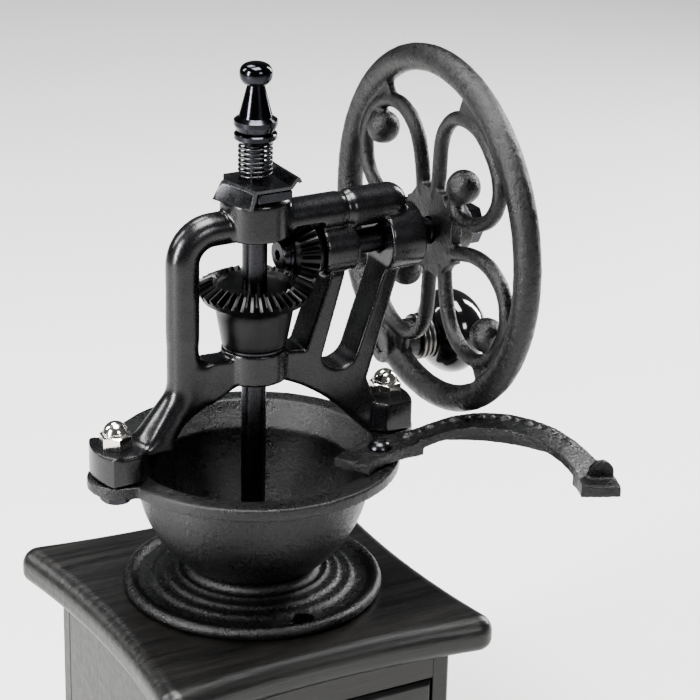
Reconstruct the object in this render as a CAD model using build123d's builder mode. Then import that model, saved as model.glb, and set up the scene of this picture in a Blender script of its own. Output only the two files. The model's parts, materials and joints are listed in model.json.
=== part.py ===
from build123d import *
from math import atan, cos, degrees, pi, radians, sin, tan
import os

# Hand coffee mill: wooden box with a drawer, cast bowl, bridge frame, bevel gears and a flywheel.
# Millimetres. The origin is under the middle of the base, on the vertical grinding axis.
# +Z is up, +X is the crank axis pointing at the flywheel, and the drawer opens towards -Y.

# ---- driving dimensions -------------------------------------------------------------------
base_half = 62.0
base_thick = 8.0
box_half = 52.0
box_height = 78.0
panel_thick = 7.0
board_half = 59.5
board_corner = 65.5
board_thick = 12.5
bowl_height = 52.5
crank_above_flange = 70.0

flange_radius = 51.5
flange_thick = 4.5
mouth_radius = 43.5
bowl_radius = 41.0
bowl_centre_drop = 8.5
bowl_wall = 4.0
disc_radius = 46.0
foot_screw_circle = 38.6
lug_reach = 62.5
lug_half_width = 12.2
stud_reach = 52.5

wheel_x = 70.8
rim_radius = 60.6
rim_tube = 5.0
scroll_bar = 2.9
scroll_ball = 6.3
plate_thick = 5.0
knob_y = 28.5
knob_z = -53.0

shaft_radius = 4.3
crank_radius = 4.4
running_gap = 0.05
teeth_gear = 36
teeth_pinion = 20
tooth_module = 1.1
face_width = 6.3

lid_outer = 51.5
lid_inner = 37.5
lid_pad = 4.0
lid_crown = 10.5
lid_wall = 3.5
lid_open_angle = 141.0
pivot_angle = -38.0
pivot_radius = 44.5

# ---- heights worked out from them -----------------------------------------------------------
box_bottom_z = base_thick
box_top_z = box_bottom_z + box_height
board_top_z = box_top_z + board_thick
flange_z = board_top_z + bowl_height
crank_z = flange_z + crank_above_flange
boss_bottom_z = flange_z + 27.0
boss_top_z = flange_z + 38.5
arm_z = flange_z + 83.0
head_bottom_z = flange_z + 79.0
head_top_z = flange_z + 94.6
block_top_z = head_top_z + 3.3
leaf_top_z = block_top_z + 1.2
spring_top_z = flange_z + 111.4
collar_z = flange_z + 115.0

pieces = {}


def xz_plane(y_value):
    """Plane whose own x and y are the part's X and Z, facing -Y."""
    return Plane(origin=(0, y_value, 0), x_dir=(1, 0, 0), z_dir=(0, -1, 0))


def yz_plane(x_value, height=0.0):
    """Plane whose own x and y are the part's Y and Z, facing +X."""
    return Plane(origin=(x_value, 0, height), x_dir=(0, 1, 0), z_dir=(1, 0, 0))


# ==== wooden box ===============================================================================
with BuildPart() as base_plate:
    with BuildSketch():
        RectangleRounded(2 * base_half, 2 * base_half, 7)
    extrude(amount=base_thick)
    chamfer(base_plate.edges().group_by(Axis.Z)[-1], length=3.5, length2=5)
pieces["base_plate"] = base_plate

drawer_open_width = 2 * (box_half - panel_thick)
rail_height = 12.0
side_depth = 2 * box_half - panel_thick
for side_name, side in (("box_side_left", -1), ("box_side_right", 1)):
    with BuildPart() as box_side:
        with BuildSketch(Plane.XY.offset(box_bottom_z)):
            with Locations((side * (box_half - panel_thick / 2), -panel_thick / 2)):
                Rectangle(panel_thick, side_depth)
        extrude(amount=box_height)
        front_corner = box_side.edges().filter_by(Axis.Z).group_by(Axis.Y)[0]
        chamfer(front_corner.sort_by(Axis.X)[0 if side < 0 else -1], length=1.2)
    pieces[side_name] = box_side

with BuildPart() as box_back:
    with BuildSketch(Plane.XY.offset(box_bottom_z)):
        with Locations((0, box_half - panel_thick / 2)):
            Rectangle(2 * box_half, panel_thick)
    extrude(amount=box_height)
    chamfer(box_back.edges().filter_by(Axis.Z).group_by(Axis.Y)[-1], length=1.2)
pieces["box_back"] = box_back

with BuildPart() as box_front_rail:
    with BuildSketch(Plane.XY.offset(box_top_z - rail_height)):
        with Locations((0, -box_half + panel_thick / 2)):
            Rectangle(drawer_open_width, panel_thick)
    extrude(amount=rail_height)
pieces["box_front_rail"] = box_front_rail

with BuildPart() as drawer_stop:
    with BuildSketch(Plane.XY.offset(box_bottom_z)):
        with Locations((0, box_half - panel_thick - 3)):
            Rectangle(20, 6)
    extrude(amount=9)
pieces["drawer_stop"] = drawer_stop

chute_radius = 17.0
with BuildPart() as top_board:
    with BuildSketch(Plane.XY.offset(box_top_z)) as board_plan:
        with BuildLine():
            for turn in range(4):
                start = Vector(-board_corner, -board_corner, 0).rotate(Axis.Z, 90 * turn)
                middle = Vector(0, -board_half, 0).rotate(Axis.Z, 90 * turn)
                end = Vector(board_corner, -board_corner, 0).rotate(Axis.Z, 90 * turn)
                ThreePointArc(start, middle, end)
        make_face()
        fillet(board_plan.vertices(), radius=6.5)
        Circle(chute_radius, mode=Mode.SUBTRACT)
    extrude(amount=board_thick)
    fillet(top_board.faces().sort_by(Axis.Z)[0].outer_wire().edges(), radius=4.0)
    fillet(top_board.faces().sort_by(Axis.Z)[-1].outer_wire().edges(), radius=6.0)
    with PolarLocations(foot_screw_circle, 2, start_angle=-90):
        with Locations((0, 0, board_top_z)):
            Hole(1.95, depth=11.5)
pieces["top_board"] = top_board

# ==== drawer ===================================================================================
drawer_gap = 0.6
drawer_bottom = box_bottom_z + drawer_gap
drawer_top = box_top_z - rail_height - drawer_gap
drawer_half = drawer_open_width / 2 - drawer_gap
drawer_back_y = box_half - panel_thick - 7.0
tray_front_y = -box_half + 8.0

with BuildPart() as drawer_front:
    with BuildSketch(xz_plane(-box_half - 1.0)):
        with Locations((0, (drawer_bottom + drawer_top) / 2)):
            Rectangle(2 * drawer_half, drawer_top - drawer_bottom)
    extrude(amount=-9.0)
    chamfer(drawer_front.faces().sort_by(Axis.Y)[0].edges(), length=1.5)
    with Locations(Location((0, -box_half, (drawer_bottom + drawer_top) / 2), (90, 0, 0))):
        Cylinder(2.0, 30, mode=Mode.SUBTRACT)
pieces["drawer_front"] = drawer_front

with BuildPart() as drawer_tray:
    with BuildSketch(Plane.XY.offset(drawer_bottom)):
        with Locations((0, (tray_front_y + drawer_back_y) / 2)):
            Rectangle(2 * drawer_half - 1, drawer_back_y - tray_front_y)
    extrude(amount=drawer_top - drawer_bottom - 6)
    with BuildSketch(Plane.XY.offset(drawer_bottom + 4)):
        with Locations((0, (tray_front_y + drawer_back_y) / 2)):
            Rectangle(2 * drawer_half - 11, drawer_back_y - tray_front_y - 10)
    extrude(amount=box_height, mode=Mode.SUBTRACT)
    with Locations(Location((0, tray_front_y, (drawer_bottom + drawer_top) / 2), (90, 0, 0))):
        Cylinder(2.0, 20, mode=Mode.SUBTRACT)
pieces["drawer_tray"] = drawer_tray

knob_centre_z = (drawer_bottom + drawer_top) / 2
knob_face_y = -box_half - 1.0
with BuildPart() as drawer_knob:
    with BuildSketch(Plane(origin=(0, knob_face_y, knob_centre_z), x_dir=(1, 0, 0), z_dir=(0, 0, 1))):
        with BuildLine():
            Polyline((2.0, 0), (7.0, 0), (7.0, -1.6), (4.2, -3.0), (3.8, -6.5))
            ThreePointArc((3.8, -6.5), (8.6, -12.5), (3.0, -18.0))
            Polyline((3.0, -18.0), (2.0, -18.2), (2.0, 0))
        make_face()
    revolve(axis=Axis((0, knob_face_y, knob_centre_z), (0, 1, 0)))
pieces["drawer_knob"] = drawer_knob

with BuildPart() as drawer_knob_screw:
    with Locations(Location((0, knob_face_y - 18.3, knob_centre_z), (-90, 0, 0))):
        Cylinder(2.0, 33.3, align=(Align.CENTER, Align.CENTER, Align.MIN))
    with Locations(Location((0, tray_front_y + 5.0, knob_centre_z), (-90, 0, 0))):
        Cylinder(3.8, 2.2, align=(Align.CENTER, Align.CENTER, Align.MIN))
pieces["drawer_knob_screw"] = drawer_knob_screw

# ==== cast bowl with its foot disc, flange and lugs ============================================
bowl_centre_z = flange_z - bowl_centre_drop
inner_radius = bowl_radius - bowl_wall
throat_radius = 16.0
seat_z = board_top_z + 3.0


def bowl_height_at(radius, sphere):
    """Height of the lower half of a sphere about the bowl's centre at a radius from the axis."""
    return bowl_centre_z - (sphere ** 2 - radius ** 2) ** 0.5


neck_radius = 23.6
wall_top_z = flange_z - flange_thick
under_flange = (bowl_radius ** 2 - (wall_top_z - bowl_centre_z) ** 2) ** 0.5
with BuildPart() as hopper_bowl:
    with BuildSketch(Plane.XZ):
        with BuildLine():
            Polyline((throat_radius, board_top_z), (disc_radius - 1.0, board_top_z))
            ThreePointArc(
                (disc_radius - 1.0, board_top_z),
                (disc_radius + 0.2, board_top_z + 2.6),
                (disc_radius - 3.6, board_top_z + 4.2),
            )
            Polyline(
                (disc_radius - 3.6, board_top_z + 4.2),
                (disc_radius - 5.2, board_top_z + 3.0),
                (36.5, board_top_z + 3.4),
                (35.0, board_top_z + 4.6),
                (31.6, board_top_z + 4.9),
                (30.6, board_top_z + 6.0),
                (27.4, board_top_z + 6.3),
                (26.2, board_top_z + 7.4),
            )
            ThreePointArc(
                (26.2, board_top_z + 7.4),
                (23.2, board_top_z + 8.2),
                (neck_radius, bowl_height_at(neck_radius, bowl_radius)),
            )
            ThreePointArc(
                (neck_radius, bowl_height_at(neck_radius, bowl_radius)),
                (35.0, bowl_height_at(35.0, bowl_radius)),
                (under_flange, wall_top_z),
            )
            Polyline(
                (under_flange, wall_top_z),
                (flange_radius, wall_top_z),
                (flange_radius, flange_z),
                (mouth_radius, flange_z),
                (mouth_radius - 2.0, flange_z - 3.0),
                (inner_radius, bowl_centre_z),
            )
            ThreePointArc(
                (inner_radius, bowl_centre_z),
                (30.0, bowl_height_at(30.0, inner_radius)),
                (throat_radius, bowl_height_at(throat_radius, inner_radius)),
            )
            Line((throat_radius, bowl_height_at(throat_radius, inner_radius)), (throat_radius, board_top_z))
        make_face()
    revolve(axis=Axis.Z)
    with BuildSketch(Plane.XY.offset(wall_top_z)):
        SlotCenterToCenter(2 * (lug_reach - lug_half_width), 2 * lug_half_width)
        Circle(mouth_radius + 2, mode=Mode.SUBTRACT)
    extrude(amount=flange_thick)
    with Locations((stud_reach, 0, flange_z), (-stud_reach, 0, flange_z)):
        Hole(3.0, depth=12)
    with PolarLocations(foot_screw_circle, 2, start_angle=-90):
        with Locations((0, 0, board_top_z + 3.4)):
            CounterSinkHole(2.0, 3.6, depth=12)
    with Locations(Location((0, 0, flange_z), (0, 0, pivot_angle))):
        with Locations((pivot_radius, 0, 0)):
            Hole(2.0, depth=12)
pieces["hopper_bowl"] = hopper_bowl

burr_top_z = board_top_z + 11.0
with BuildPart() as outer_burr:
    with BuildSketch(Plane.XZ):
        with BuildLine():
            Polyline(
                (throat_radius, board_top_z),
                (throat_radius, burr_top_z - 3.0),
                (throat_radius - 1.0, burr_top_z),
                (10.5, burr_top_z),
                (13.6, board_top_z),
                close=True,
            )
        make_face()
    revolve(axis=Axis.Z)
    with BuildSketch(Plane.XY.offset(burr_top_z)):
        with PolarLocations(10.8, 12):
            Rectangle(2.2, 1.3, rotation=12)
    extrude(amount=-7.0, mode=Mode.SUBTRACT)
pieces["outer_burr"] = outer_burr

with BuildPart() as foot_screws:
    with PolarLocations(foot_screw_circle, 2, start_angle=-90):
        with Locations((0, 0, board_top_z + 3.4)):
            Cone(1.95, 3.55, 1.65, align=(Align.CENTER, Align.CENTER, Align.MAX))
        with Locations((0, 0, board_top_z + 1.8)):
            Cylinder(1.95, 13.0, align=(Align.CENTER, Align.CENTER, Align.MAX))
    with PolarLocations(foot_screw_circle, 2, start_angle=-90):
        with Locations((0, 0, board_top_z + 3.4)):
            Box(6.0, 0.9, 1.4, rotation=(0, 0, 35), mode=Mode.SUBTRACT)
pieces["foot_screws"] = foot_screws

# ==== bridge frame =============================================================================
frame_half = 6.6
web_half = 5.0
lug_block_top = flange_z + 11.0
post_x = -27.2
post_radius = 5.8
head_radius = 12.0
beam_radius = 6.6
block_half = 10.5
near_boss = (23.5, 36.5, 9.2)
far_boss = (48.0, 61.5, 11.6)


def frame_points(*points):
    """Points given as (x, height above the flange), as (x, z) in the part."""
    return [(x, flange_z + height) for x, height in points]


with BuildPart() as bridge_frame:
    # lug blocks: arched outer ends, inner corners cut off
    for side in (-1, 1):
        with BuildSketch(Plane.XY.offset(flange_z)):
            with BuildLine():
                ThreePointArc((side * 57.8, -block_half), (side * 60.6, 0), (side * 57.8, block_half))
                Polyline(
                    (side * 57.8, block_half), (side * 47.5, block_half), (side * 42.2, block_half - 5.3),
                    (side * 42.2, 5.3 - block_half), (side * 47.5, -block_half), (side * 57.8, -block_half),
                )
            make_face()
        extrude(amount=lug_block_top - flange_z)
    # foot of the left leg, spreading from the round bar onto its block
    with BuildSketch(Plane.XY.offset(flange_z + 8.0)):
        with Locations((-40.0, 0)):
            RectangleRounded(12.2, 15.6, 1.2)
    with BuildSketch(Plane.XY.offset(flange_z + 27.0)):
        with Locations((post_x, 0)):
            Circle(post_radius)
    loft()
    # left leg, post, bend and arm in one round bar
    with BuildLine() as arm_path:
        FilletPolyline(
            Vector(-44.0, 0, flange_z + 3.5),
            Vector(post_x, 0, flange_z + 25.0),
            Vector(post_x, 0, arm_z),
            Vector(-7.0, 0, arm_z),
            radius=(10.0, 11.0),
        )
    with BuildSketch(Plane(origin=arm_path.line @ 0, z_dir=arm_path.line % 0)):
        Circle(post_radius)
    sweep(path=arm_path.line)
    # upper boss, beam and the two crank bosses
    with Locations((0, 0, head_bottom_z)):
        Cylinder(head_radius, head_top_z - head_bottom_z, align=(Align.CENTER, Align.CENTER, Align.MIN))
    chamfer(bridge_frame.edges().group_by(Axis.Z)[-1], length=2.6)
    with BuildSketch(Plane(origin=(0, 0, arm_z), x_dir=(1, 0, 0), z_dir=(0, -1, 0))):
        with BuildLine():
            Polyline((0, 0), (0, beam_radius), (31.5, beam_radius), (33.5, beam_radius - 0.7), (35.5, 7.0))
            Line((35.5, 7.0), (51.0, 7.0))
            RadiusArc((51.0, 7.0), (58.0, 0), 7.0)
            Line((58.0, 0), (0, 0))
        make_face()
    revolve(axis=Axis((0, 0, arm_z), (1, 0, 0)))
    for start_x, end_x, radius in (near_boss, far_boss):
        with BuildSketch(yz_plane(start_x, crank_z)):
            Circle(radius)
        extrude(amount=end_x - start_x)
    # lower boss
    with Locations((0, 0, boss_bottom_z)):
        Cylinder(11.5, boss_top_z - boss_bottom_z, align=(Align.CENTER, Align.CENTER, Align.MIN))
    # web, struts and window on the wheel side
    with BuildSketch(xz_plane(frame_half)):
        with BuildLine():
            Polyline(*frame_points((54.2, 62.0), (48.0, 62.0), (37.3, 31.0)))
            ThreePointArc(*frame_points((37.3, 31.0), (30.0, 26.6), (23.4, 32.0)))
            Polyline(*frame_points((23.4, 32.0), (32.0, 62.0), (26.4, 62.0), (17.0, 36.0), (6.0, 37.0), (6.0, 27.0)))
            Spline(*frame_points((6.0, 27.0), (18.5, 21.0), (27.5, 14.5), (35.5, 7.0), (41.6, 1.0)))
            Polyline(*frame_points((41.6, 1.0), (47.0, 1.0), (47.0, 9.0), (44.5, 13.0), (41.5, 21.0), (54.2, 62.0)))
        make_face()
    extrude(amount=2 * frame_half)
    # web between the lower boss and the left leg
    with BuildSketch(xz_plane(web_half)):
        with BuildLine():
            Polyline(*frame_points(
                (-6.0, 27.5), (-6.0, 36.0), (-23.0, 37.0), (-27.0, 38.0), (-31.0, 26.0), (-46.0, 9.0), (-50.0, 9.0), (-50.0, 1.0),
                (-41.6, 1.0),
            ))
            Spline(*frame_points((-41.6, 1.0), (-33.0, 11.0), (-22.0, 19.0), (-6.0, 27.5)))
        make_face()
    extrude(amount=2 * web_half)
    # bores: vertical shaft, crank and the two studs
    with Locations((0, 0, head_bottom_z - 6)):
        Cylinder(
            shaft_radius + running_gap, 30, align=(Align.CENTER, Align.CENTER, Align.MIN), mode=Mode.SUBTRACT
        )
    with Locations((0, 0, boss_bottom_z - 1)):
        Cylinder(
            shaft_radius + running_gap, 20, align=(Align.CENTER, Align.CENTER, Align.MIN), mode=Mode.SUBTRACT
        )
    with BuildSketch(yz_plane(near_boss[0] - 1, crank_z)):
        Circle(crank_radius + running_gap)
    extrude(amount=far_boss[1] - near_boss[0] + 2, mode=Mode.SUBTRACT)
    with BuildSketch(yz_plane(near_boss[0] - 11, crank_z)):
        Circle(12.6)
    extrude(amount=11.0, mode=Mode.SUBTRACT)
    with Locations((stud_reach, 0, lug_block_top), (-stud_reach, 0, lug_block_top)):
        Hole(3.0, depth=11)
pieces["bridge_frame"] = bridge_frame

with BuildPart() as frame_studs:
    for side in (-1, 1):
        with Locations((side * stud_reach, 0, wall_top_z - 4.5)):
            Cylinder(3.0, 24.0, align=(Align.CENTER, Align.CENTER, Align.MIN))
pieces["frame_studs"] = frame_studs

nut_half = 5.0
nut_height = 4.6
with BuildPart() as plain_nut:
    with BuildSketch():
        RegularPolygon(nut_half, 6, major_radius=False, rotation=20)
    extrude(amount=nut_height)
    with BuildSketch(Plane.XZ):
        with BuildLine():
            Polyline((0, 0), (6.2, 0), (6.2, nut_height - 0.9), (4.7, nut_height), (0, nut_height), close=True)
        make_face()
    revolve(axis=Axis.Z, mode=Mode.INTERSECT)

for nut_name, nut_z, flip in (("cap_nuts", lug_block_top, 0), ("stud_nuts", wall_top_z, 180)):
    with BuildPart() as stud_nut:
        for side in (-1, 1):
            with Locations(Location((side * stud_reach, 0, nut_z), (flip, 0, 0))):
                add(plain_nut.part)
            if flip == 0:
                with Locations((side * stud_reach, 0, nut_z + nut_height)):
                    Cylinder(4.4, 0.9, align=(Align.CENTER, Align.CENTER, Align.MIN))
                    Sphere(4.4)
        with Locations((stud_reach, 0, nut_z), (-stud_reach, 0, nut_z)):
            Cylinder(3.0, 10.4, mode=Mode.SUBTRACT)
    pieces[nut_name] = stud_nut

# ==== grinding shaft, burr and the big bevel gear ==============================================
with BuildPart() as main_shaft:
    with Locations((0, 0, board_top_z - 2)):
        Cylinder(
            shaft_radius, head_bottom_z + 8.0 - board_top_z + 2, align=(Align.CENTER, Align.CENTER, Align.MIN)
        )
    fillet(main_shaft.edges().group_by(Axis.Z)[-1], radius=1.5)
pieces["main_shaft"] = main_shaft

with BuildPart() as inner_burr:
    with BuildSketch(Plane.XZ):
        with BuildLine():
            Polyline(
                (shaft_radius, board_top_z + 0.5),
                (12.2, board_top_z + 0.5),
                (12.2, board_top_z + 2.0),
                (8.4, board_top_z + 16.0),
                (6.2, board_top_z + 21.0),
                (shaft_radius, board_top_z + 21.0),
                close=True,
            )
        make_face()
    revolve(axis=Axis.Z)
    with BuildSketch(Plane.XY.offset(board_top_z + 21.0)):
        with PolarLocations(9.6, 9):
            Rectangle(6.0, 1.6, rotation=20)
    extrude(amount=-17.0, mode=Mode.SUBTRACT)
pieces["inner_burr"] = inner_burr

with BuildPart() as burr_nut:
    with BuildSketch(Plane.XY.offset(board_top_z - 4.5)):
        RegularPolygon(6.5, 6, major_radius=False)
        Circle(shaft_radius, mode=Mode.SUBTRACT)
    extrude(amount=5.0)
pieces["burr_nut"] = burr_nut

gear_angle = atan(teeth_gear / teeth_pinion)
gear_pitch = teeth_gear * tooth_module / 2
pinion_pitch = teeth_pinion * tooth_module / 2
cone_length = (gear_pitch ** 2 + pinion_pitch ** 2) ** 0.5
small_scale = (cone_length - face_width) / cone_length
addendum = 0.95 * tooth_module
dedendum = 1.25 * tooth_module
half_tooth = 0.68
flank = tan(radians(20))


def bevel_tooth(plane_large, plane_small):
    """One straight bevel tooth between its large end and its small end."""
    with BuildPart() as tooth:
        for plane, scale in ((plane_large, 1.0), (plane_small, small_scale)):
            root = (half_tooth + dedendum * flank) * scale
            tip = (half_tooth - addendum * flank) * scale
            low = -(dedendum + 0.25) * scale
            high = addendum * scale
            with BuildSketch(plane):
                with BuildLine():
                    Polyline((-root, low), (root, low), (tip, high), (-tip, high), close=True)
                make_face()
        loft()
    return tooth.part


def cone_plane(distance, angle):
    """Plane square to a cone's line at a distance from the apex, for a cone about -Z."""
    point = Vector(distance * sin(angle), 0, -distance * cos(angle))
    return Plane(origin=point, x_dir=(0, 1, 0), z_dir=point.normalized())


gear_tooth = bevel_tooth(cone_plane(cone_length, gear_angle), cone_plane(cone_length * small_scale, gear_angle))
pinion_tooth = bevel_tooth(
    cone_plane(cone_length, pi / 2 - gear_angle), cone_plane(cone_length * small_scale, pi / 2 - gear_angle)
)


def cone_point(distance, angle, depth):
    """(radius, drop below the apex) of a point a depth under a pitch cone's line."""
    return (
        distance * sin(angle) - depth * cos(angle),
        -distance * cos(angle) - depth * sin(angle),
    )


hub_bottom = boss_top_z + 0.9 - crank_z
with BuildPart(Plane.XY.offset(crank_z)) as bevel_gear:
    with BuildSketch(Plane(origin=(0, 0, crank_z), x_dir=(1, 0, 0), z_dir=(0, -1, 0))):
        with BuildLine():
            Polyline(
                (shaft_radius + running_gap, -10.0),
                (12.4, -10.0),
                cone_point(cone_length * small_scale, gear_angle, dedendum * small_scale),
                cone_point(cone_length, gear_angle, dedendum),
                cone_point(cone_length, gear_angle, dedendum + 2.0),
                (14.4, -15.4),
                (13.6, -17.0),
                (11.3, hub_bottom + 0.6),
                (10.7, hub_bottom),
                (shaft_radius + running_gap, hub_bottom),
                close=True,
            )
        make_face()
    revolve(axis=Axis.Z)
    with PolarLocations(0, teeth_gear, start_angle=180 / teeth_gear):
        add(gear_tooth)
pieces["bevel_gear"] = bevel_gear

with BuildPart() as thrust_washer:
    with BuildSketch(Plane.XY.offset(boss_top_z + 0.1)):
        Circle(10.9)
        Circle(shaft_radius + running_gap, mode=Mode.SUBTRACT)
    extrude(amount=0.7)
pieces["thrust_washer"] = thrust_washer

# ==== adjuster on top ==========================================================================
screw_radius = 3.0
leaf_front_y = -14.0
leaf_back_y = 8.0
with BuildPart() as adjuster_block:
    with BuildSketch(Plane.XY.offset(head_top_z)):
        with Locations((0.5, (leaf_front_y + leaf_back_y) / 2)):
            RectangleRounded(13.0, leaf_back_y - leaf_front_y, 0.8)
        Circle(screw_radius + 0.1, mode=Mode.SUBTRACT)
    extrude(amount=block_top_z - head_top_z)
    chamfer(adjuster_block.faces().sort_by(Axis.Z)[-1].outer_wire().edges(), length=0.5)
pieces["adjuster_block"] = adjuster_block

leaf = 1.1
flange_back_y = 3.0


def leaf_section(foot_x, shoulder_x):
    """Section of the leaf's left part: a flat top with a flange that hangs down on its left."""
    under = leaf_top_z - leaf
    foot_z = leaf_top_z - 6.5
    return [
        (foot_x, foot_z), (shoulder_x, leaf_top_z - 0.8), (shoulder_x + 1.0, leaf_top_z), (0, leaf_top_z),
        (0, under), (shoulder_x + 1.4, under), (foot_x + 1.1, foot_z - 0.2),
    ]


with BuildPart() as lock_leaf:
    for y_value, foot_x, shoulder_x in ((leaf_front_y, -9.0, -7.7), (flange_back_y, -14.6, -11.4)):
        with BuildSketch(xz_plane(y_value)):
            Polygon(*leaf_section(foot_x, shoulder_x), align=None)
    loft()
    with BuildSketch(Plane.XY.offset(leaf_top_z - leaf)):
        Polygon((-10.4, flange_back_y), (0, flange_back_y), (0, leaf_back_y), (-8.0, leaf_back_y), align=None)
    extrude(amount=leaf)
    with BuildSketch(xz_plane(leaf_back_y)):
        with BuildLine():
            leaf_top = Polyline(
                (0, leaf_top_z),
                (6.2, leaf_top_z),
                (8.4, leaf_top_z + 2.6),
                (9.6, leaf_top_z + 2.6),
                (10.4, leaf_top_z + 1.2),
            )
            offset(leaf_top, amount=leaf, side=Side.RIGHT, closed=True)
        make_face()
    extrude(amount=leaf_back_y - leaf_front_y)
    with BuildSketch(Plane.XY.offset(leaf_top_z - 2 * leaf)):
        Circle(screw_radius + 0.2)
    extrude(amount=4 * leaf, mode=Mode.SUBTRACT)
pieces["lock_leaf"] = lock_leaf

spring_radius = 5.4
spring_wire = 0.5
spring_turns = 7
spring_low = leaf_top_z + spring_wire
spring_rise = spring_top_z - leaf_top_z - 2 * spring_wire
with BuildPart() as adjuster_spring:
    with BuildLine() as coil:
        Helix(
            pitch=spring_rise / spring_turns, height=spring_rise, radius=spring_radius, center=(0, 0, spring_low)
        )
    with BuildSketch(Plane(origin=coil.line @ 0, z_dir=coil.line % 0)):
        Circle(spring_wire)
    sweep(path=coil.line, is_frenet=True)
pieces["adjuster_spring"] = adjuster_spring

with BuildPart() as spring_collar:
    with BuildSketch(Plane.XZ):
        with BuildLine():
            Polyline(
                (screw_radius + running_gap, spring_top_z),
                (5.6, spring_top_z),
                (7.25, spring_top_z + 1.7),
                (7.25, collar_z - 0.4),
                (6.85, collar_z),
                (screw_radius + running_gap, collar_z),
                close=True,
            )
        make_face()
    revolve(axis=Axis.Z)
pieces["spring_collar"] = spring_collar

screw_bottom_z = head_bottom_z + 8.6
with BuildPart() as adjusting_knob:
    with BuildSketch(Plane.XZ):
        with BuildLine():
            Polyline(
                (0, screw_bottom_z),
                (screw_radius, screw_bottom_z),
                (screw_radius, collar_z + 0.1),
                (6.2, collar_z + 0.1),
                (7.35, collar_z + 2.8),
                (7.35, collar_z + 4.4),
                (5.7, collar_z + 5.6),
                (2.95, collar_z + 16.2),
            )
            Spline(
                (2.95, collar_z + 16.2), (5.5, collar_z + 19.6), (0, collar_z + 24.0), tangents=((1, 0.4), (-1, 0))
            )
            Line((0, collar_z + 24.0), (0, screw_bottom_z))
        make_face()
    revolve(axis=Axis.Z)
pieces["adjusting_knob"] = adjusting_knob

# ==== crank shaft and pinion ===================================================================
pinion_front = 12.6
wheel_front = wheel_x - plate_thick / 2
wheel_back = wheel_x + plate_thick / 2
with BuildPart() as crank_shaft:
    with BuildSketch(yz_plane(pinion_front, crank_z)):
        Circle(crank_radius)
    extrude(amount=wheel_back + 15.0 - pinion_front)
    chamfer(crank_shaft.edges().group_by(Axis.X)[-1], length=1.0)
    with BuildSketch(yz_plane(pinion_front, crank_z)):
        Circle(2.1)
    extrude(amount=11.0, mode=Mode.SUBTRACT)
pieces["crank_shaft"] = crank_shaft

pinion_seat = Plane(origin=(0, 0, crank_z), x_dir=(0, 1, 0), z_dir=(-1, 0, 0))
with BuildPart(pinion_seat) as drive_pinion:
    with BuildSketch(Plane(origin=(0, 0, crank_z), x_dir=(0, 1, 0), z_dir=(0, 0, -1))):
        pinion_angle = pi / 2 - gear_angle
        small_root = cone_point(cone_length * small_scale, pinion_angle, dedendum * small_scale)
        large_root = cone_point(cone_length, pinion_angle, dedendum)
        with BuildLine():
            Polyline(
                (crank_radius, pinion_front),
                (6.4, pinion_front),
                (small_root[0], -small_root[1]),
                (large_root[0], -large_root[1]),
                (8.6, 22.4),
                (crank_radius, 22.4),
                close=True,
            )
        make_face()
    revolve(axis=Axis((0, 0, crank_z), (1, 0, 0)))
    with PolarLocations(0, teeth_pinion):
        add(pinion_tooth)
pieces["drive_pinion"] = drive_pinion

washer_thick = 1.3
screw_head = 2.6
pinion_screw_radius = 2.1
with BuildPart() as pinion_washer:
    with BuildSketch(yz_plane(pinion_front - washer_thick, crank_z)):
        Circle(5.6)
        Circle(pinion_screw_radius, mode=Mode.SUBTRACT)
        with Locations((-4.0, 1.6)):
            Rectangle(4.0, 0.6, rotation=-20, mode=Mode.SUBTRACT)
    extrude(amount=washer_thick)
pieces["pinion_washer"] = pinion_washer

with BuildPart() as pinion_screw:
    with BuildSketch(yz_plane(pinion_front - washer_thick - screw_head, crank_z)):
        Circle(5.2)
    extrude(amount=screw_head)
    fillet(pinion_screw.edges().group_by(Axis.X)[0], radius=0.8)
    with BuildSketch(yz_plane(pinion_front - washer_thick, crank_z)):
        Circle(pinion_screw_radius)
    extrude(amount=11.0)
    with BuildSketch(yz_plane(pinion_front - washer_thick - screw_head, crank_z)):
        RegularPolygon(2.0, 6)
    extrude(amount=1.6, mode=Mode.SUBTRACT)
pieces["pinion_screw"] = pinion_screw

# ==== flywheel =================================================================================
hub_length = 9.0
knob_boss_back = wheel_x + 9.6


def turned(point, half_turns):
    """A (y, z) point about the wheel's centre, turned by half turns, as a point in the part."""
    side = -1 if half_turns % 2 else 1
    return Vector(wheel_x, side * point[0], crank_z + side * point[1])


# scroll against the rim, and scroll with its ball by the rim: centre lines from the plate and back
rim_scroll = (
    (-0.5, 12.0), (-2.6, 25.0), (-5.0, 37.0), (-11.9, 43.4), (-19.5, 44.8), (-28.0, 43.0), (-35.5, 37.5),
    (-40.6, 30.5), (-41.2, 22.5), (-37.0, 15.3), (-29.3, 10.6), (-21.0, 8.6), (-14.6, 10.8), (-13.6, 16.4),
    (-17.0, 20.4),
)
web_scroll = (
    (7.5, 11.0), (9.8, 23.0), (14.0, 32.5), (21.0, 37.6), (29.0, 39.0), (36.5, 37.0), (43.5, 31.6), (48.0, 24.0),
    (49.0, 16.0), (46.2, 8.4), (39.5, 3.4), (31.5, 1.6), (23.5, 2.2), (12.0, 5.5),
)
rim_web = ((-14.0, 44.0), (-18.0, 54.0), (-35.0, 46.5), (-48.5, 30.0), (-40.0, 31.0), (-28.0, 43.0))
corner_web = ((22.0, 38.0), (30.5, 41.5), (34.6, 47.5), (44.0, 39.5), (53.5, 22.5), (47.0, 24.0), (36.5, 37.0))
rim_ball = (-18.4, 20.9)
web_ball = (37.3, 27.0)

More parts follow.
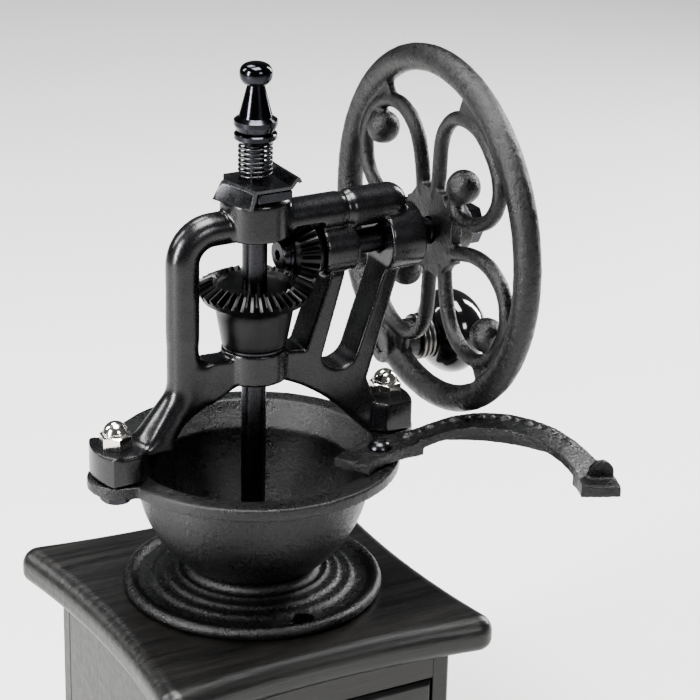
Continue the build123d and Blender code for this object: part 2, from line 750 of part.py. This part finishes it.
with BuildPart() as drive_wheel:
    with BuildSketch(yz_plane(wheel_front, crank_z)):
        with BuildLine():
            for turn in range(4):
                points = [Vector(*p, 0).rotate(Axis.Z, 90 * turn) for p in ((8.6, 15.5), (11.3, 11.3), (15.5, 8.6))]
                ThreePointArc(*points)
                Line(points[2], Vector(15.5, -8.6, 0).rotate(Axis.Z, 90 * turn))
        make_face()
    extrude(amount=plate_thick)
    with BuildSketch(yz_plane(wheel_back, crank_z)):
        Circle(9.0)
    extrude(amount=hub_length)
    for half_turns in (0, 1):
        for scroll in (rim_scroll, web_scroll):
            with BuildLine() as scroll_path:
                Spline(*[turned(point, half_turns) for point in scroll])
            with BuildSketch(Plane(origin=scroll_path.line @ 0, x_dir=(1, 0, 0), z_dir=scroll_path.line % 0)):
                Circle(scroll_bar)
            sweep(path=scroll_path.line)
        for ball in (rim_ball, web_ball):
            with Locations(turned(ball, half_turns)):
                Sphere(scroll_ball)
        for web in (rim_web, corner_web):
            with BuildSketch(yz_plane(wheel_x - 1.8, crank_z)):
                side = -1 if half_turns else 1
                Polygon(*[(side * y, side * z) for y, z in web], align=None)
            extrude(amount=3.6)
    with BuildSketch(Plane(origin=(wheel_x, 0, crank_z), x_dir=(1, 0, 0), z_dir=(0, -1, 0))):
        with Locations((0, rim_radius)):
            Circle(rim_tube)
    revolve(axis=Axis((wheel_x, 0, crank_z), (1, 0, 0)))
    with BuildSketch(yz_plane(wheel_x - 5.2, crank_z)):
        with Locations((knob_y, knob_z)):
            Circle(7.6)
    extrude(amount=knob_boss_back - wheel_x + 5.2)
    with BuildSketch(yz_plane(wheel_front - 1, crank_z)):
        Circle(crank_radius)
    extrude(amount=plate_thick + hub_length + 2, mode=Mode.SUBTRACT)
    with BuildSketch(yz_plane(wheel_x - 6, crank_z)):
        with Locations((knob_y, knob_z)):
            Circle(3.0)
    extrude(amount=20, mode=Mode.SUBTRACT)
pieces["drive_wheel"] = drive_wheel

nut_back = wheel_back + hub_length
with BuildPart() as wheel_nut:
    with BuildSketch(yz_plane(nut_back, crank_z)):
        RegularPolygon(6.5, 6, major_radius=False)
        Circle(crank_radius, mode=Mode.SUBTRACT)
    extrude(amount=5.0)
pieces["wheel_nut"] = wheel_nut

# ==== crank knob ===============================================================================
knob_axis = Axis((0, knob_y, crank_z + knob_z), (1, 0, 0))
knob_plane = Plane(origin=(0, knob_y, crank_z + knob_z), x_dir=(1, 0, 0), z_dir=(0, -1, 0))
knob_bore = 3.0 + running_gap
ferrule_start = knob_boss_back + 0.3
knob_start = ferrule_start + 6.0
knob_length = 23.0
with BuildPart() as knob_ferrule:
    with BuildSketch(knob_plane):
        with BuildLine():
            Polyline((ferrule_start, knob_bore), (ferrule_start, 8.0))
            for groove in range(3):
                left = ferrule_start + 2.0 * groove
                ThreePointArc((left, 8.0), (left + 1.0, 8.6), (left + 2.0, 8.0))
            Polyline((knob_start, 8.0), (knob_start, knob_bore), (ferrule_start, knob_bore))
        make_face()
    revolve(axis=knob_axis)
pieces["knob_ferrule"] = knob_ferrule

with BuildPart() as handle_knob:
    with BuildSketch(knob_plane):
        with BuildLine():
            Line((knob_start, knob_bore), (knob_start, 9.0))
            Spline(
                (knob_start, 9.0), (knob_start + 3.0, 13.2), (knob_start + 9.0, 15.9), (knob_start + 16.0, 13.6),
                (knob_start + 21.5, 7.6), (knob_start + knob_length, 5.4),
            )
            Polyline(
                (knob_start + knob_length, 5.4), (knob_start + knob_length - 1.2, 5.2),
                (knob_start + knob_length - 1.2, knob_bore), (knob_start, knob_bore),
            )
        make_face()
    revolve(axis=knob_axis)
pieces["handle_knob"] = handle_knob

bolt_head_start = knob_start + knob_length - 1.0
with BuildPart() as handle_bolt:
    with BuildSketch(knob_plane):
        with BuildLine():
            Polyline(
                (wheel_x - 4.0, 0), (wheel_x - 4.0, 3.0), (bolt_head_start, 3.0), (bolt_head_start, 4.9),
                (bolt_head_start + 1.2, 4.9),
            )
            ThreePointArc((bolt_head_start + 1.2, 4.9), (bolt_head_start + 2.5, 2.9), (bolt_head_start + 3.0, 0))
            Line((bolt_head_start + 3.0, 0), (wheel_x - 4.0, 0))
        make_face()
    revolve(axis=knob_axis)
    with BuildSketch(Plane(origin=(bolt_head_start + 3.1, knob_y, crank_z + knob_z), z_dir=(-1, 0, 0))):
        Rectangle(12, 1.2)
    extrude(amount=1.5, mode=Mode.SUBTRACT)
pieces["handle_bolt"] = handle_bolt

# ==== lid, drawn in its open place =============================================================
pivot = Vector(pivot_radius, 0, 0).rotate(Axis.Z, pivot_angle)
lid_centre = pivot - pivot.rotate(Axis.Z, lid_open_angle)
lid_home = Plane(
    origin=(lid_centre.X, lid_centre.Y, flange_z + 0.2),
    x_dir=Vector(1, 0, 0).rotate(Axis.Z, lid_open_angle),
    z_dir=(0, 0, 1),
)
lid_side = Plane(origin=lid_home.origin, x_dir=lid_home.x_dir, z_dir=-lid_home.y_dir)
free_end_angle = -166.3
pad_end_angle = -17.0
tab_angle = -156.0


def wedge(first_angle, last_angle):
    """Corners of a wedge from the lid's centre between two angles, wide enough to cover the lid."""
    reach = 2 * lid_outer
    steps = 6
    angles = [first_angle + (last_angle - first_angle) * step / steps for step in range(steps + 1)]
    return [(0, 0)] + [(reach * cos(radians(a)), reach * sin(radians(a))) for a in angles]


def lid_arch(drop):
    """Side outline of the lid's top, lowered by a drop: flat pads with an arch between them."""
    low = lid_pad - drop
    high = lid_crown - drop
    with BuildLine() as arch:
        Polyline((-60, -10), (-60, low), (-44, low))
        Spline((-44, low), (-33, low + 0.42 * (high - low)), (-7, high), (16, low + 0.55 * (high - low)), (31, low),
               tangents=((1, 0), (1, 0)))
        Polyline((31, low), (60, low), (60, -10), (-60, -10))
    return arch.line


with BuildPart() as lid_cavity:
    with BuildSketch(lid_home.offset(-1)):
        Circle(lid_outer - lid_wall)
        Circle(lid_inner - 2, mode=Mode.SUBTRACT)
        Polygon(*wedge(-150.0, -58.0), align=None, mode=Mode.INTERSECT)
    extrude(amount=20)
    with BuildSketch(lid_side):
        with BuildLine():
            add(lid_arch(lid_wall))
        make_face()
    extrude(amount=120, both=True, mode=Mode.INTERSECT)

with BuildPart() as lid:
    with BuildSketch(lid_home):
        Circle(lid_outer)
        Circle(lid_inner, mode=Mode.SUBTRACT)
        Polygon(*wedge(free_end_angle, pad_end_angle), align=None, mode=Mode.INTERSECT)
    extrude(amount=lid_crown + 2)
    with BuildSketch(lid_side):
        with BuildLine():
            add(lid_arch(0))
        make_face()
    extrude(amount=120, both=True, mode=Mode.INTERSECT)
    add(lid_cavity.part, mode=Mode.SUBTRACT)
    tab_at = Vector(46.2, 0, 0).rotate(Axis.Z, tab_angle)
    tab_origin = lid_home.from_local_coords(tab_at + Vector(0, 0, 3.4))
    tab_across = Vector(1, 0, 0).rotate(Axis.Z, tab_angle + lid_open_angle)
    with BuildSketch(Plane(origin=tab_origin, x_dir=tab_across, z_dir=tab_across.rotate(Axis.Z, -90))):
        with Locations((0, -0.4)):
            Rectangle(9.2, 6.0)
        with Locations((0, 2.4)):
            Circle(4.6)
    extrude(amount=1.3, both=True)
    with Locations((pivot.X, pivot.Y, flange_z)):
        Cylinder(2.0 + running_gap, 30, mode=Mode.SUBTRACT)
pieces["lid"] = lid

with BuildPart() as lid_pivot_screw:
    with BuildSketch(Plane(origin=(pivot.X, pivot.Y, 0), x_dir=(1, 0, 0), z_dir=(0, -1, 0))):
        with BuildLine():
            head_z = flange_z + 0.2 + lid_pad + 0.2
            Polyline((0, wall_top_z - 1.0), (2.0, wall_top_z - 1.0), (2.0, head_z), (4.2, head_z))
            ThreePointArc((4.2, head_z), (2.9, head_z + 1.7), (0.6, head_z + 2.3))
            Polyline((0.6, head_z + 2.3), (0, head_z + 2.3), (0, wall_top_z - 1.0))
        make_face()
    revolve(axis=Axis((pivot.X, pivot.Y, 0), (0, 0, 1)))
pieces["lid_pivot_screw"] = lid_pivot_screw

# ==== write every piece ========================================================================
os.makedirs("parts", exist_ok=True)
for label, piece in pieces.items():
    piece.part.label = label
    export_step(piece.part, f"parts/{label}.step")
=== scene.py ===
"""Looks for the hand coffee mill: castings, turned steel, painted wood, floor, light and camera."""
import json
import math

import bmesh
import bpy
from mathutils import Matrix, Vector
from mathutils.bvhtree import BVHTree


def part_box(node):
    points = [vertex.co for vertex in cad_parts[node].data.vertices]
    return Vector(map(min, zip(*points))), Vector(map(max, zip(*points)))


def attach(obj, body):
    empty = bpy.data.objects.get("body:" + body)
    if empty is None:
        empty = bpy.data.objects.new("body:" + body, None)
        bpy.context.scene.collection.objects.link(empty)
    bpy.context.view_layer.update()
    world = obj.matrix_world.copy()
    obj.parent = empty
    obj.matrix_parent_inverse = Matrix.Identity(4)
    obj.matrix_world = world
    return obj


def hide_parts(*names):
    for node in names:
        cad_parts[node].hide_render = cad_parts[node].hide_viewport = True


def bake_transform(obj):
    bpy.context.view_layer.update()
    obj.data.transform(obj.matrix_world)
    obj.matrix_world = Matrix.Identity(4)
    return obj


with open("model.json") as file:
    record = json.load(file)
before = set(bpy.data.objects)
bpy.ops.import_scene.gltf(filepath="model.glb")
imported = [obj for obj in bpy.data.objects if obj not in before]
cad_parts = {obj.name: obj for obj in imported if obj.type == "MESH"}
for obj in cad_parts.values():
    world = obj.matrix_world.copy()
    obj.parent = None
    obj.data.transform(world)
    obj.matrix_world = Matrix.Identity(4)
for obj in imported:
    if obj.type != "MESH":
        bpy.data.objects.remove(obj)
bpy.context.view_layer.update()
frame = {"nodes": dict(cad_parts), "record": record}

NODES = frame["nodes"]
MM = 0.001


# ---- materials -------------------------------------------------------------------------------
NOISE_REACH = 0.3  # two noises added together stay mostly within this of 1


class Nodes:
    """Short hand for a material's node tree, fed with object coordinates in metres."""

    def __init__(self, name):
        self.material = bpy.data.materials.new(name)
        self.material.use_nodes = True
        self.tree = self.material.node_tree
        self.shader = self.tree.nodes["Principled BSDF"]
        self.place = self.tree.nodes.new("ShaderNodeTexCoord").outputs["Object"]

    def add(self, kind, **values):
        """A new node. Each value is one of its settings, or else one of its inputs."""
        node = self.tree.nodes.new("ShaderNode" + kind)
        for key, value in values.items():
            if hasattr(node, key):
                setattr(node, key, value)
            else:
                node.inputs[key.replace("_", " ")].default_value = value
        return node

    def link(self, source, target):
        self.tree.links.new(source, target)

    def noise(self, scale, detail=4.0, roughness=0.55, stretch=None):
        """Noise with about scale lumps a metre, drawn out where stretch is under 1."""
        node = self.add("TexNoise", Scale=scale, Detail=detail, Roughness=roughness)
        place = self.place
        if stretch:
            mapping = self.add("Mapping")
            mapping.inputs["Scale"].default_value = stretch
            self.link(self.place, mapping.inputs["Vector"])
            place = mapping.outputs["Vector"]
        self.link(place, node.inputs["Vector"])
        return node.outputs["Fac"]

    def edges(self):
        """Pointiness of the surface: over a half on outer edges."""
        return self.add("NewGeometry").outputs["Pointiness"]

    def spread(self, value, low, high, out_low=0.0, out_high=1.0):
        """Stretches low..high of a value to out_low..out_high, and holds it there outside."""
        node = self.add("MapRange", From_Min=low, From_Max=high, To_Min=out_low, To_Max=out_high)
        self.link(value, node.inputs["Value"])
        return node.outputs["Result"]

    def sheen(self, first, second, smoothest, roughest):
        """Roughness that varies with two noises together."""
        both = self.add("Math", operation="ADD")
        self.link(first, both.inputs[0])
        self.link(second, both.inputs[1])
        return self.spread(both.outputs[0], 1 - NOISE_REACH, 1 + NOISE_REACH, smoothest, roughest)

    def mix(self, factor, first, second):
        """Runs from the first colour to the second."""
        node = self.add("Mix", data_type="RGBA")
        sockets = [s for s in node.inputs if s.name in ("A", "B") and s.type == "RGBA"]
        self.link(factor, node.inputs["Factor"])
        for socket, colour in zip(sockets, (first, second)):
            if isinstance(colour, tuple):
                socket.default_value = (*colour, 1)
            else:
                self.link(colour, socket)
        return [s for s in node.outputs if s.type == "RGBA"][0]

    def bump(self, height, distance, strength, below=None):
        """Normals of a relief up to distance metres deep, on top of the relief below."""
        node = self.add("Bump", Strength=strength, Distance=distance)
        self.link(height, node.inputs["Height"])
        if below is not None:
            self.link(below, node.inputs["Normal"])
        return node.outputs["Normal"]

    def finish(self, colour, roughness=None, normal=None, **fixed):
        """Links the shader's main inputs, sets the fixed ones and returns the material."""
        for name, value in (("Base Color", colour), ("Roughness", roughness), ("Normal", normal)):
            if value is not None:
                self.link(value, self.shader.inputs[name])
        for name, value in fixed.items():
            self.shader.inputs[name.replace("_", " ")].default_value = value
        return self.material


def cast_iron():
    """Black enamel over a sand casting: uneven sheen, fine pits and a painted highlight that lightens the
    outer edges.
    """
    n = Nodes("rough_cast_iron")
    broad = n.noise(scale=75, detail=3)
    grain = n.noise(scale=820, detail=6, roughness=0.68)
    pits = n.noise(scale=2400, detail=3, roughness=0.6)
    # The last colour is a lighter tone for the outer edges: a painted highlight.
    enamel, thin_enamel, edge_highlight_colour = (0.0014, 0.0014, 0.0016), (0.009, 0.009, 0.00927), (0.022, 0.022, 0.022)
    colour = n.mix(n.spread(grain, 0.45, 0.70), enamel, thin_enamel)
    # Outer edges are lightened by pointiness: a painted highlight, not wear.
    edge_wear_and_highlight = n.mix(n.spread(n.edges(), 0.60, 0.72), colour, edge_highlight_colour)
    pitted = n.bump(pits, distance=0.00010, strength=0.7)
    normal = n.bump(grain, distance=0.00045, strength=0.9, below=pitted)
    return n.finish(edge_wear_and_highlight, n.sheen(broad, grain, 0.20, 0.40), normal, Specular_IOR_Level=0.45)


def satin_black():
    """Smooth black enamel of the frame, with a little orange peel."""
    n = Nodes("satin_black_paint")
    broad = n.noise(scale=120, detail=3)
    fine = n.noise(scale=1500, detail=3, roughness=0.5)
    deep, thin = (0.0014, 0.0014, 0.0017), (0.0045, 0.0045, 0.0055)
    peel = n.bump(fine, distance=0.00001, strength=0.3)
    normal = n.bump(broad, distance=0.0004, strength=0.25, below=peel)
    roughness = n.sheen(broad, fine, 0.22, 0.32)
    return n.finish(n.mix(broad, deep, thin), roughness, normal, Specular_IOR_Level=0.5)


def steel(name, dark, light, smoothest, roughest):
    """Bare or blackened metal, with a colour that runs from dark to light in broad patches."""
    n = Nodes(name)
    broad = n.noise(scale=160, detail=4)
    fine = n.noise(scale=1400, detail=5, roughness=0.6)
    normal = n.bump(fine, distance=0.00003, strength=0.5)
    roughness = n.sheen(broad, fine, smoothest, roughest)
    return n.finish(n.mix(broad, dark, light), roughness, normal, Metallic=1.0)


def painted_wood():
    """Black stained wood: long grain along X, open pores and a thin satin varnish."""
    n = Nodes("black_painted_wood")
    grain = n.noise(scale=300, detail=6, roughness=0.62, stretch=(0.05, 1, 1))
    pores = n.noise(scale=1900, detail=4, roughness=0.6, stretch=(0.10, 1, 1))
    dark, light, rubbed = (0.0022, 0.0020, 0.0019), (0.0085, 0.0078, 0.0070), (0.016, 0.014, 0.012)
    colour = n.mix(n.spread(grain, 0.32, 0.72), dark, light)
    # On the wood the lighter edges are real wear, rubbed through the stain.
    edge_wear_and_highlight = n.mix(n.spread(n.edges(), 0.54, 0.64), colour, rubbed)
    porous = n.bump(pores, distance=0.0001, strength=0.5)
    normal = n.bump(grain, distance=0.0006, strength=0.4, below=porous)
    return n.finish(edge_wear_and_highlight, n.sheen(grain, pores, 0.28, 0.46), normal)


def bare_wood():
    """Untreated pale wood of the drawer's inside, with the grain along X."""
    n = Nodes("bare_wood")
    grain = n.noise(scale=240, detail=6, roughness=0.6, stretch=(0.08, 1, 1))
    late, early = (0.30, 0.185, 0.095), (0.52, 0.36, 0.20)
    colour = n.mix(n.spread(grain, 0.3, 0.75), late, early)
    roughness = n.spread(grain, 0.3, 0.7, 0.55, 0.7)
    return n.finish(colour, roughness, n.bump(grain, distance=0.0003, strength=0.5))


def gloss_black():
    """Thick black lacquer of the crank knob."""
    n = Nodes("black_gloss_lacquer")
    broad = n.noise(scale=110, detail=3)
    fine = n.noise(scale=1700, detail=4)
    colour = n.mix(broad, (0.003, 0.003, 0.0035), (0.007, 0.0065, 0.007))
    roughness = n.spread(fine, 0.3, 0.7, 0.08, 0.18)
    normal = n.bump(broad, distance=0.0002, strength=0.2)
    return n.finish(colour, roughness, normal, Coat_Weight=0.6, Coat_Roughness=0.05)


LOOKS = {
    "painted_wood": painted_wood(),
    "bare_wood": bare_wood(),
    "black_paint": satin_black(),
    "cast_iron": cast_iron(),
    "gear_iron": steel("oiled_gear_iron", (0.014, 0.014, 0.016), (0.045, 0.044, 0.043), 0.26, 0.42),
    "dark_steel": steel("dark_steel", (0.022, 0.022, 0.025), (0.060, 0.060, 0.065), 0.20, 0.36),
    "spring_steel": steel("spring_steel", (0.045, 0.045, 0.048), (0.11, 0.11, 0.115), 0.20, 0.36),
    "bright_nickel": steel("bright_nickel", (0.62, 0.59, 0.54), (0.80, 0.78, 0.73), 0.08, 0.22),
    "polished_steel": steel("black_polished_steel", (0.020, 0.020, 0.024), (0.045, 0.045, 0.052), 0.09, 0.22),
    "black_lacquer": gloss_black(),
}
SLOT_OF = {s["node"]: s["material_slot"] for s in frame["record"]["subparts"]}


def dress(piece, slot_name):
    piece.data.materials.clear()
    piece.data.materials.append(LOOKS[slot_name])


for node_name, node in NODES.items():
    dress(node, SLOT_OF[node_name])


# ---- castings: softened copies of the plain solids ----------------------------------------------
def link(name, data):
    """A new object with this mesh, light or camera, put in the scene."""
    piece = bpy.data.objects.new(name, data)
    bpy.context.scene.collection.objects.link(piece)
    return piece


def settle(piece):
    """Turns a piece's modifiers into its mesh, and returns it."""
    view = bpy.context.evaluated_depsgraph_get()
    mesh = bpy.data.meshes.new_from_object(piece.evaluated_get(view))
    piece.modifiers.clear()
    piece.data = mesh
    return mesh


SMOOTHING = 0.5  # how far each round of smoothing moves a point
MELT_ROUNDS = 140
MELT_EDGE = 3 * MM  # over this depth into the flow box the extra smoothing comes in


def melt(piece, low, high):
    """Smooths a piece much more inside the box from low to high, so that its ridges run together."""
    group = piece.vertex_groups.new(name="flow")
    for vertex in piece.data.vertices:
        depth = min(min(vertex.co[i] - low[i], high[i] - vertex.co[i]) for i in range(3))
        if depth > 0:
            group.add([vertex.index], min(1.0, depth / MELT_EDGE), "REPLACE")
    smooth = piece.modifiers.new("melt", "SMOOTH")
    smooth.factor, smooth.iterations, smooth.vertex_group = SMOOTHING, MELT_ROUNDS, group.name


def casting(name, node_name, body, slot_name, voxel, rounds, grain, lump, extra=None, flow=None):
    """A copy of a node with its corners softened and a sand-cast skin, standing in for the node.

    voxel is the size of its remeshing and rounds is how often that is smoothed. grain and lump are the
    depth and size of the skin's two layers of noise. A mid level of 1 makes them only go inwards. extra is
    a mesh that is cast with it. flow is a box, given by its lowest and highest corners, that is melted."""
    piece = link(name, NODES[node_name].data.copy())
    if extra is not None:
        form = bmesh.new()
        form.from_mesh(piece.data)
        form.from_mesh(extra)
        form.to_mesh(piece.data)
        form.free()
    remesh = piece.modifiers.new("remesh", "REMESH")
    remesh.mode, remesh.voxel_size, remesh.use_smooth_shade = "VOXEL", voxel, True
    smooth = piece.modifiers.new("smooth", "SMOOTH")
    smooth.factor, smooth.iterations = SMOOTHING, rounds
    if flow is not None:
        settle(piece)
        melt(piece, *flow)
    for index, (depth, size) in enumerate((grain, lump)):
        clouds = bpy.data.textures.new(f"{name}_{index}", "CLOUDS")
        clouds.noise_scale, clouds.noise_depth = size, 2
        skin = piece.modifiers.new(f"skin_{index}", "DISPLACE")
        skin.texture, skin.texture_coords = clouds, "LOCAL"
        skin.strength, skin.mid_level = depth, 1.0
    mesh = settle(piece)
    mesh.materials.clear()
    mesh.materials.append(LOOKS[slot_name])
    for polygon in mesh.polygons:
        polygon.use_smooth = True
    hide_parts(node_name)
    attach(piece, body)


RELIEF_COUNT = 15
RELIEF_START, RELIEF_STEP = -128, 5.2  # degrees round the bowl, with the lid shut
RELIEF_RADIUS = 0.0474
LEAF, BEAD = (2.5 * MM, 1.5 * MM, 1.15 * MM), (1.0 * MM, 1.0 * MM, 0.95 * MM)  # half sizes
LEAF_LEAN = 24  # degrees


def lid_relief():
    """A row of leaves and beads for the lid's outer shoulder, standing on its arched top."""
    swing = next(joint for joint in frame["record"]["behaviour"]["joints"] if joint["name"] == "lid_swing")
    pivot = Vector((swing["pos_m"][0], swing["pos_m"][1], 0))
    opened = -math.radians(swing["range_deg"][0])
    turn = Matrix.Rotation(opened, 3, "Z")
    centre = pivot - turn @ pivot
    form = bmesh.new()
    form.from_mesh(NODES["lid"].data)
    tree = BVHTree.FromBMesh(form)
    form.free()
    relief = bmesh.new()
    for index in range(RELIEF_COUNT):
        angle = math.radians(RELIEF_START + RELIEF_STEP * index)
        place = centre + turn @ (RELIEF_RADIUS * Vector((math.cos(angle), math.sin(angle), 0)))
        top = tree.ray_cast(place + Vector((0, 0, 1)), Vector((0, 0, -1)))[0]
        if top is None:  # past the lid's edge
            continue
        shape = Matrix.Diagonal((*(LEAF if index % 2 == 0 else BEAD), 1))
        lean = Matrix.Rotation(opened + angle + math.radians(90 + LEAF_LEAN * (index % 4 - 1)), 4, "Z")
        stand = Matrix.Translation(top) @ lean @ shape
        bmesh.ops.create_icosphere(relief, subdivisions=3, radius=1.0, matrix=stand)
    mesh = bpy.data.meshes.new("lid_relief")
    relief.to_mesh(mesh)
    relief.free()
    return mesh


FLANGE_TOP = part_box("hopper_bowl")[1].z
LEFT_FOOT = ((-0.056, -0.020, FLANGE_TOP + 0.009), (-0.018, 0.020, FLANGE_TOP + 0.046))

casting("wheel_casting", "drive_wheel", "wheel", "cast_iron", voxel=0.00056, rounds=5,
        grain=(0.00016, 0.0006), lump=(0.00030, 0.004))
casting("frame_casting", "bridge_frame", "stand", "black_paint", voxel=0.00052, rounds=8,
        grain=(0.00001, 0.0015), lump=(0.00010, 0.006), flow=LEFT_FOOT)
casting("bowl_casting", "hopper_bowl", "stand", "cast_iron", voxel=0.00066, rounds=3,
        grain=(0.00014, 0.0007), lump=(0.00024, 0.005))
casting("lid_casting", "lid", "lid", "cast_iron", voxel=0.00036, rounds=4,
        grain=(0.00018, 0.0006), lump=(0.00034, 0.003), extra=lid_relief())


# ---- thread on the crank shaft, between the frame and the wheel ---------------------------------
THREAD_START = 61.9 * MM
THREAD_TURNS, THREAD_PITCH = 6, 1.0 * MM
THREAD_STEPS = 48  # sections in a turn
THREAD_HALF_BASE, THREAD_RIDGE, THREAD_SUNK = 0.43 * MM, 0.42 * MM, 0.1 * MM


def crank_thread():
    """A screw thread wound on the crank shaft. Each section of it is a low triangle, sunk into the shaft."""
    shaft_low, shaft_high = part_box("crank_shaft")
    axis_y, axis_z = (shaft_low.y + shaft_high.y) / 2, (shaft_low.z + shaft_high.z) / 2
    radius = (shaft_high.z - shaft_low.z) / 2
    last = THREAD_TURNS * THREAD_STEPS
    form = bmesh.new()
    rings = []
    for index in range(last + 1):
        angle = math.tau * index / THREAD_STEPS
        along = THREAD_START + THREAD_PITCH * index / THREAD_STEPS
        fade = min(1.0, index / THREAD_STEPS, (last - index) / THREAD_STEPS)
        section = (
            (-THREAD_HALF_BASE, -THREAD_SUNK),
            (0, THREAD_RIDGE * fade),
            (THREAD_HALF_BASE, -THREAD_SUNK),
        )
        ring = []
        for shift, rise in section:
            out = radius + rise
            place = (along + shift, axis_y + out * math.cos(angle), axis_z + out * math.sin(angle))
            ring.append(form.verts.new(place))
        rings.append(ring)
    for first, second in zip(rings, rings[1:]):
        for corner in range(3):
            after = (corner + 1) % 3
            form.faces.new((first[corner], first[after], second[after], second[corner]))
    form.faces.new(rings[0])
    form.faces.new(rings[-1][::-1])
    bmesh.ops.recalc_face_normals(form, faces=form.faces)
    mesh = bpy.data.meshes.new("crank_thread")
    form.to_mesh(mesh)
    form.free()
    mesh.materials.append(LOOKS["dark_steel"])
    piece = link("crank_thread", mesh)
    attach(piece, "wheel")


def live_spring():
    """A copy of the adjuster's spring that stands in for the node, baked where it stands."""
    piece = link("spring_coils", NODES["adjuster_spring"].data.copy())
    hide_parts("adjuster_spring")
    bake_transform(piece)


crank_thread()
live_spring()
dull_nickel = steel("dull_nickel", (0.10, 0.10, 0.10), (0.20, 0.19, 0.18), 0.22, 0.4)
NODES["knob_ferrule"].data.materials[0] = dull_nickel


# ---- small rounds on the pieces that keep their plain solids --------------------------------------
ROUNDS = {
    1.0: ("base_plate",),
    0.5: ("box_side_left", "box_side_right", "box_back", "drawer_front", "drawer_tray", "drawer_stop"),
    0.4: ("box_front_rail",),
    0.35: ("adjuster_block",),
    0.3: ("lock_leaf", "wheel_nut"),
    0.2: ("cap_nuts", "stud_nuts"),
    0.12: ("bevel_gear", "drive_pinion"),
}
WELD_DISTANCE = 0.01 * MM
SHARP_ANGLE = math.radians(28)


def round_edges(node, width):
    """Joins the node's faces and puts a small round on its sharp edges."""
    weld = node.modifiers.new("weld", "WELD")
    weld.merge_threshold = WELD_DISTANCE
    bevel = node.modifiers.new("round", "BEVEL")
    bevel.width, bevel.segments, bevel.limit_method = width, 2, "ANGLE"
    bevel.angle_limit, bevel.harden_normals = SHARP_ANGLE, True


for width_mm, names in ROUNDS.items():
    for node_name in names:
        round_edges(NODES[node_name], width_mm * MM)


# ---- floor, light and camera -----------------------------------------------------------------
FLOOR_HALF = 6
MIDDLE = (0, 0, 0.18)  # where every light points
SKY_COLOUR, SKY_STRENGTH = (0.80, 0.83, 0.88, 1), 0.13
SOFTBOXES = (  # name, place, width and height, watts
    ("key", (-1.0, -0.15, 0.50), (0.18, 0.7), 22),
    ("left_back", (-0.80, 0.70, 0.85), (0.22, 0.6), 9),
    ("front", (0.15, -1.1, 0.75), (0.35, 0.3), 5),
    ("right_back", (1.0, 0.30, 0.55), (0.18, 0.8), 12),
    ("behind", (0.0, 0.75, 1.35), (0.5, 0.4), 10),
    ("top", (0.0, -0.1, 1.25), (0.6, 0.6), 26),
)
AZIMUTH, ELEVATION, ROLL = math.radians(-29.15), math.radians(22.43), math.radians(1.12)
DISTANCE = 0.90892  # from the middle of the bowl's flange, along the view
PLACE_RIGHT, PLACE_UP = 0.02796, 0.02848  # from there, across the view
SENSOR, LENS = 36, 133.7  # millimetres
SHIFT_X, SHIFT_Y = 0.0237, 0.0222


def lay_floor():
    mesh = bpy.data.meshes.new("floor")
    form = bmesh.new()
    bmesh.ops.create_grid(form, x_segments=1, y_segments=1, size=FLOOR_HALF)
    form.to_mesh(mesh)
    form.free()
    floor = link("floor", mesh)
    n = Nodes("pale_floor")
    colour = n.mix(n.noise(scale=3, detail=3), (0.70, 0.70, 0.69), (0.75, 0.75, 0.74))
    mesh.materials.append(n.finish(colour, Roughness=0.6))


def softbox(name, place, size, power):
    """A rectangular area light that points at the middle of the object."""
    lamp = bpy.data.lights.new(name, "AREA")
    lamp.shape, lamp.size, lamp.size_y = "RECTANGLE", size[0], size[1]
    lamp.energy = power
    holder = link(name, lamp)
    holder.location = place
    holder.rotation_euler = (Vector(MIDDLE) - Vector(place)).to_track_quat("-Z", "Y").to_euler()


def light_studio():
    world = bpy.data.worlds.new("studio")
    bpy.context.scene.world = world
    bpy.context.scene.view_settings.look = "AgX - Medium High Contrast"
    world.use_nodes = True
    sky = world.node_tree.nodes["Background"]
    sky.inputs["Color"].default_value = SKY_COLOUR
    sky.inputs["Strength"].default_value = SKY_STRENGTH
    for light in SOFTBOXES:
        softbox(*light)


def place_camera():
    """Puts the camera at the solved direction and distance from the bowl's flange, and rolls it."""
    away = Vector((
        math.sin(AZIMUTH) * math.cos(ELEVATION),
        -math.cos(AZIMUTH) * math.cos(ELEVATION),
        math.sin(ELEVATION),
    ))
    right = (-away).cross(Vector((0, 0, 1))).normalized()
    up = right.cross(-away)
    tilted_right = right * math.cos(ROLL) + up * math.sin(ROLL)
    tilted_up = up * math.cos(ROLL) - right * math.sin(ROLL)
    flange = Vector((0, 0, FLANGE_TOP))
    place = flange + DISTANCE * away + PLACE_RIGHT * tilted_right + PLACE_UP * tilted_up
    camera = link("camera", bpy.data.cameras.new("camera"))
    turn = Matrix((tilted_right, tilted_up, away)).transposed()
    camera.matrix_world = Matrix.Translation(place) @ turn.to_4x4()
    camera.data.sensor_width, camera.data.lens = SENSOR, LENS
    camera.data.shift_x, camera.data.shift_y = SHIFT_X, SHIFT_Y
    bpy.context.scene.camera = camera


lay_floor()
light_studio()
place_camera()
